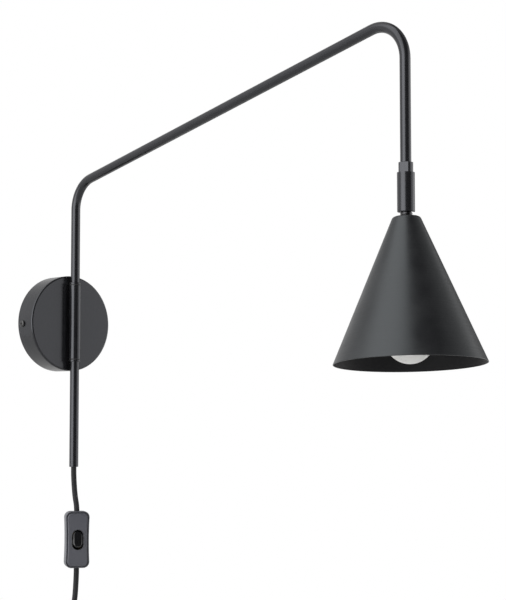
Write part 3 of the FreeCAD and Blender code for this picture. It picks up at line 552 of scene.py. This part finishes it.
def arm_path():
    """The arm's centreline in its own upright plane, as (y, z), with round bends."""
    corners = [Vector((PIVOT_Y, TAIL_END)), Vector((PIVOT_Y, FIRST_CORNER)),
               Vector((HEAD_Y, SECOND_CORNER)),
               Vector((HEAD_Y, DROP_END))]
    path = [corners[0]]
    for before, corner, after in zip(corners, corners[1:], corners[2:]):
        arriving = (corner - before).normalized()
        leaving = (after - corner).normalized()
        half_turn = arriving.angle(leaving) / 2
        inward = (leaving - arriving).normalized()
        centre = corner + inward * (BEND_RADIUS / math.cos(half_turn))
        turn = -arriving.angle_signed(leaving)
        spoke = corner - arriving * (BEND_RADIUS * math.tan(half_turn)) - centre
        for step in range(BEND_STEPS + 1):
            path.append(centre + Matrix.Rotation(turn * step / BEND_STEPS, 2) @ spoke)
    return path + [corners[-1]]


def make_arm():
    path = arm_path()
    stations = [(path[0] + Vector((0, 12.0)), TUBE_BORE_RADIUS), (path[0], TUBE_BORE_RADIUS),
                (path[0], TUBE_RADIUS - 0.35), (path[0] + Vector((0, 0.1)), TUBE_RADIUS - 0.1),
                (path[0] + Vector((0, 0.4)), TUBE_RADIUS)]
    stations += [(place, TUBE_RADIUS) for place in path[1:-1]]
    stations += [(path[-1] + Vector((0, 0.3)), TUBE_RADIUS), (path[-1], TUBE_RADIUS - 0.3)]
    shape = bmesh.new()
    rings = []
    for index, (place, radius) in enumerate(stations):
        # Both ends are cut square, so their rings lie level
        if index < 6 or index > len(stations) - 4:
            along = Vector((0.0, 0.0, 1.0 if index < 6 else -1.0))
        else:
            along = stations[index + 1][0] - stations[index - 1][0]
            along = Vector((0.0, along.x, along.y)).normalized()
        across = Vector((1.0, 0.0, 0.0))
        square = along.cross(across)
        centre = Vector((0.0, place.x, place.y))
        rings.append([shape.verts.new(centre + (across * math.cos(math.radians(6 * step))
                                                + square * math.sin(math.radians(6 * step))) * radius)
                      for step in range(60)])
    closed_skin(shape, rings)
    piece("arm_tube_bent", shape, "arm", "black_powder_coat", replaced=["arm_tube"], sharp=50.0)


def make_ball_and_neck():
    outline = [(STEM_BORE_RADIUS, math.sqrt(BALL_RADIUS ** 2 - STEM_BORE_RADIUS ** 2))]
    start = math.acos(STEM_BORE_RADIUS / BALL_RADIUS)
    end = -math.acos(NECK_RADIUS / BALL_RADIUS)
    for step in range(BALL_STEPS + 1):
        angle = start + (end - start) * step / BALL_STEPS
        outline.append((BALL_RADIUS * math.cos(angle), BALL_RADIUS * math.sin(angle)))
    shoulder = -BALL_RADIUS - 1.7
    outline += [(NECK_RADIUS, shoulder), (SHOULDER_RADIUS - 0.3, shoulder),
                (SHOULDER_RADIUS, shoulder - 0.3),
                (SHOULDER_RADIUS, shoulder - 1.3), (SHOULDER_RADIUS - 0.3, shoulder - 1.6)]
    outline += [(NECK_RADIUS, SHADE_TOP + 0.4), (NECK_RADIUS, SHADE_TOP), (STEM_RADIUS, SHADE_TOP)]
    height = SHADE_TOP - 1.0
    while height > HOLDER_TOP - 7.0:
        outline += [(STEM_RADIUS, height), (STEM_RADIUS - 0.3, height - 0.4)]
        height -= 1.0
    outline += [(STEM_RADIUS - 0.3, HOLDER_TOP - 8.0), (STEM_BORE_RADIUS, HOLDER_TOP - 8.0)]
    piece("ball_and_neck", lathe(outline, 64), "head", "black_powder_coat", head_frame(), ["ball_stem"],
          sharp=60.0, local=True, finish="blackened_steel")


def make_shade():
    """A spun cone, with its inside a duller coat than its outside."""
    slope = (SHADE_RIM_RADIUS - SHADE_TOP_RADIUS) / (SHADE_TOP - SHADE_RIM)
    thin = math.hypot(1.0, slope)
    inner_top = SHADE_TOP_RADIUS + slope - thin
    hole = STEM_RADIUS + 0.1
    outline = rounded([(hole, SHADE_TOP), (SHADE_TOP_RADIUS, SHADE_TOP, 3.0),
                       (SHADE_RIM_RADIUS, SHADE_RIM, 0.35),
                       (SHADE_RIM_RADIUS - thin, SHADE_RIM, 0.2), (inner_top, SHADE_TOP - 1.0, 2.0),
                       (hole, SHADE_TOP - 1.0)], steps=8)
    shade = piece("shade_spun", lathe(outline, 256), "head", "shade_coat", head_frame(), ["shade"],
                  sharp=50.0,
                  extra=["shade_inside"], local=True)
    for face in shade.data.polygons:
        outward = face.normal.x * face.center.x + face.normal.y * face.center.y
        under = face.normal.z < -0.5 and face.center.z > mm(SHADE_TOP - 1.5)
        face.material_index = 1 if outward < 0 or under else 0


def ribbed(top, bottom, radius, pitch, depth):
    """Heights and radii down a side with shallow grooves."""
    made = []
    height = top
    while height - pitch > bottom:
        made += [(radius, height), (radius, height - 0.55 * pitch), (radius - depth, height - 0.7 * pitch),
                 (radius - depth, height - 0.85 * pitch)]
        height -= pitch
    return made + [(radius, height), (radius, bottom)]


def make_lampholder():
    frame_of_head = head_frame()
    cap_bottom = HOLDER_TOP - HOLDER_CAP_LENGTH
    outline = rounded([(STEM_RADIUS, HOLDER_TOP), (7.0, HOLDER_TOP, 0.6),
                       (HOLDER_RADIUS, HOLDER_TOP - 4.2, 2.0),
                       (HOLDER_RADIUS, cap_bottom, 0.3), (HOLDER_RADIUS - 1.6, cap_bottom),
                       (HOLDER_RADIUS - 1.6, HOLDER_TOP - 5.8), (7.2, HOLDER_TOP - 3.2),
                       (7.2, HOLDER_TOP - 8.0),
                       (STEM_RADIUS, HOLDER_TOP - 8.0)])
    piece("holder_cap_turned", lathe(outline, 96), "head", "holder_plastic", frame_of_head,
          ["lampholder_cap"],
          local=True)
    mouth = HOLDER_TOP - HOLDER_LENGTH
    side = ribbed(cap_bottom - 0.3, mouth + 0.6, HOLDER_RADIUS, 2.2, 0.6)
    outline = ([(0.0, cap_bottom), (HOLDER_RADIUS - 0.3, cap_bottom)] + side
               + [(HOLDER_RADIUS - 0.6, mouth), (8.0, mouth), (8.0, cap_bottom - 4.0),
                  (0.0, cap_bottom - 4.0)])
    piece("holder_body_moulded", lathe(outline, 96), "head", "holder_plastic", frame_of_head,
          ["lampholder_body"],
          local=True)


def make_bulb():
    frame_of_head = head_frame()
    join = math.radians(BULB_JOIN_DEGREES)
    globe = [(BULB_RADIUS * math.cos(angle), BULB_CENTRE + BULB_RADIUS * math.sin(angle))
             for angle in (math.radians(-90) + (join + math.radians(90)) * step / 32 for step in range(33))]
    globe[0] = (0.0, globe[0][1])
    inner = [(max(0.0, radius - BULB_GLASS * math.cos(join)) if step else 0.0,
              height + (BULB_GLASS if step == 0 else 0.3))
             for step, (radius, height) in enumerate(globe[::8])]
    piece("bulb_glass", lathe(globe + inner[::-1], 96), "head", "bulb_opal", frame_of_head, ["bulb_globe"],
          sharp=70.0, local=True)
    low = globe[-1]
    top = low[1] + BULB_BASE_HEIGHT
    housing = [(0.0, low[1] - 0.4), (low[0] - 0.5, low[1] - 0.4), (low[0] - 0.1, low[1])]
    for step in range(1, 17):
        share = step / 16
        radius = low[0] + (BULB_BASE_TOP_RADIUS - low[0]) * (0.5 - 0.5 * math.cos(math.pi * share)) ** 0.85
        housing.append((radius, low[1] + BULB_BASE_HEIGHT * share))
    housing += [(0.0, top)]
    piece("bulb_base_moulded", lathe(housing, 96), "head", "bulb_white", frame_of_head, ["bulb_housing"],
          sharp=60.0, local=True)
    cap_top = BULB_TOP - 2.0
    cap = [(0.0, top), (THREAD_RADIUS, top), (THREAD_RADIUS, top + 2.0)]
    height = top + 3.0
    while height < cap_top - 5.0:
        cap += [(THREAD_RADIUS, height), (THREAD_ROOT, height + 0.9), (THREAD_RADIUS, height + 1.8)]
        height += THREAD_PITCH
    cap += [(6.6, cap_top - 3.0), (4.0, cap_top), (0.0, cap_top)]
    piece("bulb_thread", lathe(cap, 64), "head", "nickel", frame_of_head, ["bulb_screw_cap"], sharp=70.0,
          local=True)


def switch_frame():
    """X across the switch, Y up along the cord and Z out of its front, from its middle."""
    turn = SWITCH_TURN
    centre = beside_pivot(SWITCH_OFFSET, SWITCH_MIDDLE) / MM
    axes = Matrix(((math.cos(turn), 0.0, -math.sin(turn)), (-math.sin(turn), 0.0, -math.cos(turn)),
                   (0.0, 1.0, 0.0))).to_4x4()
    return Matrix.Translation(centre) @ axes


def pill(width, length, radius, height, waist=0.0, ears=0.0):
    """An outline with round corners whose sides pinch in at the middle, or swell a little above it."""
    places = []
    across, along = width / 2, length / 2
    radius = min(radius, across - 0.01)
    for sx, sy, start in CORNER_TURNS:
        for step in range(13):
            angle = math.radians(start + 7.5 * step)
            places.append([(across - radius) * sx + radius * math.cos(angle),
                           (along - radius) * sy + radius * math.sin(angle)])
        if sy * sx < 0:
            side = places[-1][0]
            places += [[side, (along - radius) * sy * (1 - step / 8)] for step in range(1, 16)]
    made = []
    for x, y in places:
        pinch = waist * (1 - (y / along) ** 2)
        swell = ears * math.exp(-((y - 0.28 * along) / (0.2 * along)) ** 2)
        made.append((x * (1 - (pinch - swell) / across), y, height))
    return made


def stack(levels):
    """Vertices for each outline of a stack, bottom to top."""
    shape = bmesh.new()
    return shape, [[shape.verts.new(place) for place in level] for level in levels]


def make_switch_shells():
    """Two moulded halves, softly crowned, that meet along a fine parting line."""
    half = SWITCH_THICKNESS / 2

    def outline(inset, height):
        return pill(SWITCH_WIDTH - 2 * inset, SWITCH_LENGTH - 2 * inset, SWITCH_CORNER - 0.7 * inset,
                    height,
                    SWITCH_WAIST)

    side = [(0.25, 0.0), (0.0, 0.25), (0.0, half - 2.0), (0.15, half - 1.3), (0.5, half - 0.8)]
    groove = [(0.75, half - 0.75), (0.85, half - SWITCH_GROOVE), (2.1, half - SWITCH_GROOVE),
              (2.2, half - 0.6)]
    outside = side + groove + [(2.5, half - 0.25), (3.3, half - 0.08)]
    inside = [(SWITCH_WALL, half - 2 * SWITCH_WALL), (SWITCH_WALL, 0.0)]

    def opening(out, height):
        return pill(OPENING_WIDTH + 2 * out, OPENING_LENGTH + 2 * out, OPENING_WIDTH, height)

    levels = [outline(*level) for level in outside]
    levels += [opening(1.6, half), opening(0.0, half), opening(0.0, half - SWITCH_WALL)]
    levels += [outline(*level) for level in inside]
    shape, rings = stack(levels)
    skin(shape, rings, closed=True)
    front = piece("switch_front_moulded", shape, "arm", "switch_plastic", switch_frame(),
                  ["switch_front_shell"],
                  sharp=50.0)
    hollow = [(4.5, half - 1.2), (SWITCH_WALL, half - 2 * SWITCH_WALL), (SWITCH_WALL, 0.0)]
    shell = side + [(1.2, half - 0.2), (2.4, half)]
    shape, rings = stack([outline(inset, -height) for inset, height in hollow + shell])
    closed_skin(shape, rings)
    back = piece("switch_back_moulded", shape, "arm", "switch_plastic", switch_frame(),
                 ["switch_back_shell"],
                 sharp=50.0)
    # A glossy black rim round the opening, with ears at its sides: partly real trim, partly a dark piece
    # that paints in the shade of the recess round the rocker.
    levels = [pill(OPENING_WIDTH + 2 * out, OPENING_LENGTH + 2 * out, OPENING_WIDTH, height, ears=ears)
              for out, height,
              ears in ((0.0, half - 0.6, 0.0), (0.05, half + 0.3, 0.0), (0.3, half + 0.45, 0.1),
                                        (0.55, half + 0.3, 0.45), (0.65, half - 0.2, 0.5),
                       (0.2, half - 0.6, 0.2))]
    shape, rings = stack(levels)
    skin(shape, rings, closed=True)
    rim_and_recess_shade = piece("rocker_rim_and_recess_shade", shape, "arm", "rocker_plastic", switch_frame(), sharp=60.0)
    return [front, back, rim_and_recess_shade]


def make_rocker():
    """A polished rocker, dished along its top, whose upper end is pressed in."""
    width, length = OPENING_WIDTH - ROCKER_SIDE_GAP, OPENING_LENGTH - ROCKER_END_GAP
    levels = []
    for inset, lift in ((0.0, None), (0.0, -0.7), (0.15, -0.1), (0.5, 0.55), (1.1, 1.0), (1.9, 1.25),
                        (3.0, 1.3),
                        (4.2, 1.3)):
        level = pill(width - 2 * inset, length - 2 * inset, width / 2 - inset, 0.0)
        levels.append([(x, y, ROCKER_UNDERSIDE if lift is None else ROCKER_FACE + lift + ROCKER_DISH * y * y)
                       for x, y, _ in level])
    shape, rings = stack(levels)
    closed_skin(shape, rings)
    press = at(0.0, 0.0, ROCKER_PIVOT) @ Matrix.Rotation(math.radians(ROCKER_PRESS_DEGREES), 4, "X")
    return piece("rocker_polished", shape, "rocker", "rocker_plastic", switch_frame() @ press,
                 ["switch_rocker"],
                 sharp=60.0)


def make_plug():
    """A flat plug with gripping ridges and a ribbed tapered relief."""
    shape = bmesh.new()
    rings = []
    levels = [(0.0, 0.90), (0.8, 0.97), (2.0, 1.0)]
    for groove in range(PLUG_GROOVES):
        start = PLUG_GROOVE_START + PLUG_GROOVE_PITCH * groove
        levels += [(start, 1.0), (start + 0.5, 0.965), (start + 1.3, 0.965), (start + 1.8, 1.0)]
    levels += [(22.5, 0.97), (24.6, 0.86), (26.0, 0.66)]
    for height, share in levels:
        ring_of_verts = []
        for step in range(96):
            angle = 2 * math.pi * step / 96
            x, y = math.cos(angle), math.sin(angle)
            across = math.copysign(abs(x) ** 0.62, x) * PLUG_HALF_WIDTH * share
            deep = math.copysign(abs(y) ** 0.72, y) * PLUG_HALF_DEPTH * (0.35 + 0.65 * share)
            ring_of_verts.append(shape.verts.new((across, deep, height)))
        rings.append(ring_of_verts)
    closed_skin(shape, rings)
    face = PLUG_TOP - PLUG_RELIEF - PLUG_LENGTH
    body = piece("plug_moulded", shape, "arm", "plug_plastic", at(0.0, PIVOT_Y, face), ["plug_body"],
                 sharp=55.0)
    outline = [(RELIEF_BORE, -1.0), (5.8, -1.0)]
    for ridge in range(RELIEF_RIDGES):
        height = 0.6 + RELIEF_RIDGE_PITCH * ridge
        radius = RELIEF_RADIUS - RELIEF_TAPER * ridge / RELIEF_RIDGES
        outline += [(radius, height), (radius - 0.1, height + 1.5), (radius - 0.85, height + 1.8),
                    (radius - 0.85, height + 2.5)]
    outline += [(3.6, PLUG_RELIEF - 0.7), (3.4, PLUG_RELIEF), (RELIEF_BORE, PLUG_RELIEF)]
    relief = piece("plug_relief", lathe(outline, 48), "arm", "plug_plastic",
                   at(0.0, PIVOT_Y, PLUG_TOP - PLUG_RELIEF), sharp=55.0)
    return [body, relief]


def make_tie():
    """A soft strap round the hank's waist, with rounded edges."""
    def loop(half_across, half_deep, height, corner):
        places = []
        for sx, sy, start in CORNER_TURNS:
            for step in range(7):
                angle = math.radians(start + 15 * step)
                places.append(((half_across - corner) * sx + corner * math.cos(angle),
                               (half_deep - corner) * sy + corner * math.sin(angle), height))
        return places

    shape = bmesh.new()
    rings = []
    across, deep = TIE_WIDTH / 2, TIE_DEPTH / 2
    for out, height in ((0.1, -3.8), (0.75, -4.0), (0.98, -3.7), (1.0, -1.2), (0.85, 0.0), (1.0, 1.2),
                        (0.98, 3.7),
                        (0.75, 4.0), (0.1, 3.8)):
        rings.append([shape.verts.new(place) for place in loop(across + out, deep + out, height,
                                                               3.0 + out)])
    skin(shape, rings, closed=True)
    direction = math.atan2(BOW.y, BOW.x)
    place = at(0.0, PIVOT_Y, HANK_TOP - HANK_LENGTH / 2) @ Matrix.Rotation(direction, 4, "Z")
    return piece("hank_strap", shape, "arm", "plug_plastic", place, ["hank_tie"], sharp=60.0)


# ---------------------------------------------------------------- studio

CAMERA_LENS = 95.8
CAMERA_PLACE = (-1.0629, -1.4769, -0.1042)
CAMERA_PITCH_DEGREES = 94.18
CAMERA_HEADING_DEGREES = -42.74
FLOOR_RADIUS = 2.4
FLOOR_PLACE = (0.0, -0.3, -0.62)

# Brightness of the walls that the lamp reflects, as (azimuth in degrees, share of the light)
LOW_WALLS = [(-180, 1.1), (-153, 1.0), (-143, 0.03), (-72, 0.02), (-65, 0.37), (-42, 0.38), (-34, 0.56),
             (-6, 0.52), (6, 0.06), (40, 0.04), (60, 0.20), (150, 0.26), (158, 1.0), (180, 1.1)]
HIGH_WALLS = [(-180, 0.66), (-150, 0.66), (-138, 0.02), (-66, 0.01), (-56, 0.10), (-6, 0.10), (6, 0.06),
              (40, 0.04), (60, 0.16), (120, 0.20), (140, 0.66), (180, 0.66)]
WALLS_TURN_FROM = 0.2
WALLS_TURN_TO = 0.6
WALL_LIGHT = 4.0


def add_camera():
    data = bpy.data.cameras.new("camera")
    data.sensor_width = 36.0
    data.lens = CAMERA_LENS
    data.clip_end = 50.0
    camera = bpy.data.objects.new("camera", data)
    camera.location = CAMERA_PLACE
    camera.rotation_euler = (math.radians(CAMERA_PITCH_DEGREES), 0.0, math.radians(CAMERA_HEADING_DEGREES))
    bpy.context.collection.objects.link(camera)
    bpy.context.scene.camera = camera


def add_floor():
    """A pale round floor under the lamp."""
    mesh = bpy.data.meshes.new("floor")
    sheet = bmesh.new()
    bmesh.ops.create_circle(sheet, cap_ends=True, segments=128, radius=FLOOR_RADIUS)
    sheet.to_mesh(mesh)
    sheet.free()
    floor = bpy.data.objects.new("floor", mesh)
    floor.location = FLOOR_PLACE
    material = finish_material("floor_paint", (0.76, 0.76, 0.75), (0.79, 0.79, 0.78), (0.6, 0.7), 60.0,
                               0.0002,
                               wear_scale=3.0)
    mesh.materials.append(material)
    bpy.context.collection.objects.link(floor)


def add_world():
    """White where the camera looks past the lamp; the lamp itself reflects the low and high walls."""
    world = bpy.data.worlds.new("studio")
    bpy.context.scene.world = world
    world.use_nodes = True
    tree = world.node_tree
    tree.nodes.clear()
    new, link = tree.nodes.new, tree.links.new
    place = new("ShaderNodeTexCoord")
    split = new("ShaderNodeSeparateXYZ")
    link(place.outputs["Generated"], split.inputs["Vector"])
    angle = new("ShaderNodeMath")
    angle.operation = "ARCTAN2"
    link(split.outputs["Y"], angle.inputs[0])
    link(split.outputs["X"], angle.inputs[1])
    turn = new("ShaderNodeMapRange")
    turn.inputs["From Min"].default_value = -math.pi
    turn.inputs["From Max"].default_value = math.pi
    link(angle.outputs["Value"], turn.inputs["Value"])

    def ramp(walls):
        """Brightness round the studio, from azimuths in degrees and shares of the brightest."""
        made = new("ShaderNodeValToRGB")
        stops = made.color_ramp.elements
        while len(stops) < len(walls):
            stops.new(0.5)
        for stop, (degrees, share) in zip(stops, walls):
            stop.position = (degrees + 180) / 360
            stop.color = (share, share, share, 1.0)
        link(turn.outputs["Result"], made.inputs["Fac"])
        return made.outputs["Color"]

    low_walls = ramp(LOW_WALLS)
    high_walls = ramp(HIGH_WALLS)
    height = new("ShaderNodeMapRange")
    height.interpolation_type = "SMOOTHSTEP"
    height.inputs["From Min"].default_value = WALLS_TURN_FROM
    height.inputs["From Max"].default_value = WALLS_TURN_TO
    link(split.outputs["Z"], height.inputs["Value"])
    rise = new("ShaderNodeMix")
    rise.data_type = "RGBA"
    link(height.outputs["Result"], rise.inputs["Factor"])
    link(low_walls, rise.inputs["A"])
    link(high_walls, rise.inputs["B"])
    light = new("ShaderNodeBackground")
    light.inputs["Strength"].default_value = WALL_LIGHT
    link(rise.outputs["Result"], light.inputs["Color"])
    backdrop = new("ShaderNodeBackground")
    backdrop.inputs["Color"].default_value = (1.0, 1.0, 1.0, 1.0)
    backdrop.inputs["Strength"].default_value = 1.0
    path = new("ShaderNodeLightPath")
    mix = new("ShaderNodeMixShader")
    link(path.outputs["Is Camera Ray"], mix.inputs["Fac"])
    link(light.outputs["Background"], mix.inputs[1])
    link(backdrop.outputs["Background"], mix.inputs[2])
    output = new("ShaderNodeOutputWorld")
    link(mix.outputs["Shader"], output.inputs["Surface"])
    bpy.context.scene.view_settings.view_transform = "Standard"


add_camera()
upper_cord, lead = make_cords()
dress_cad_nodes()
make_canopy()
make_sleeve()
make_weld()
make_arm()
make_ball_and_neck()
make_shade()
make_lampholder()
make_bulb()
switch_pieces = make_switch_shells() + [make_rocker()]
plug_pieces = make_plug()
strap = make_tie()
add_floor()
add_world()
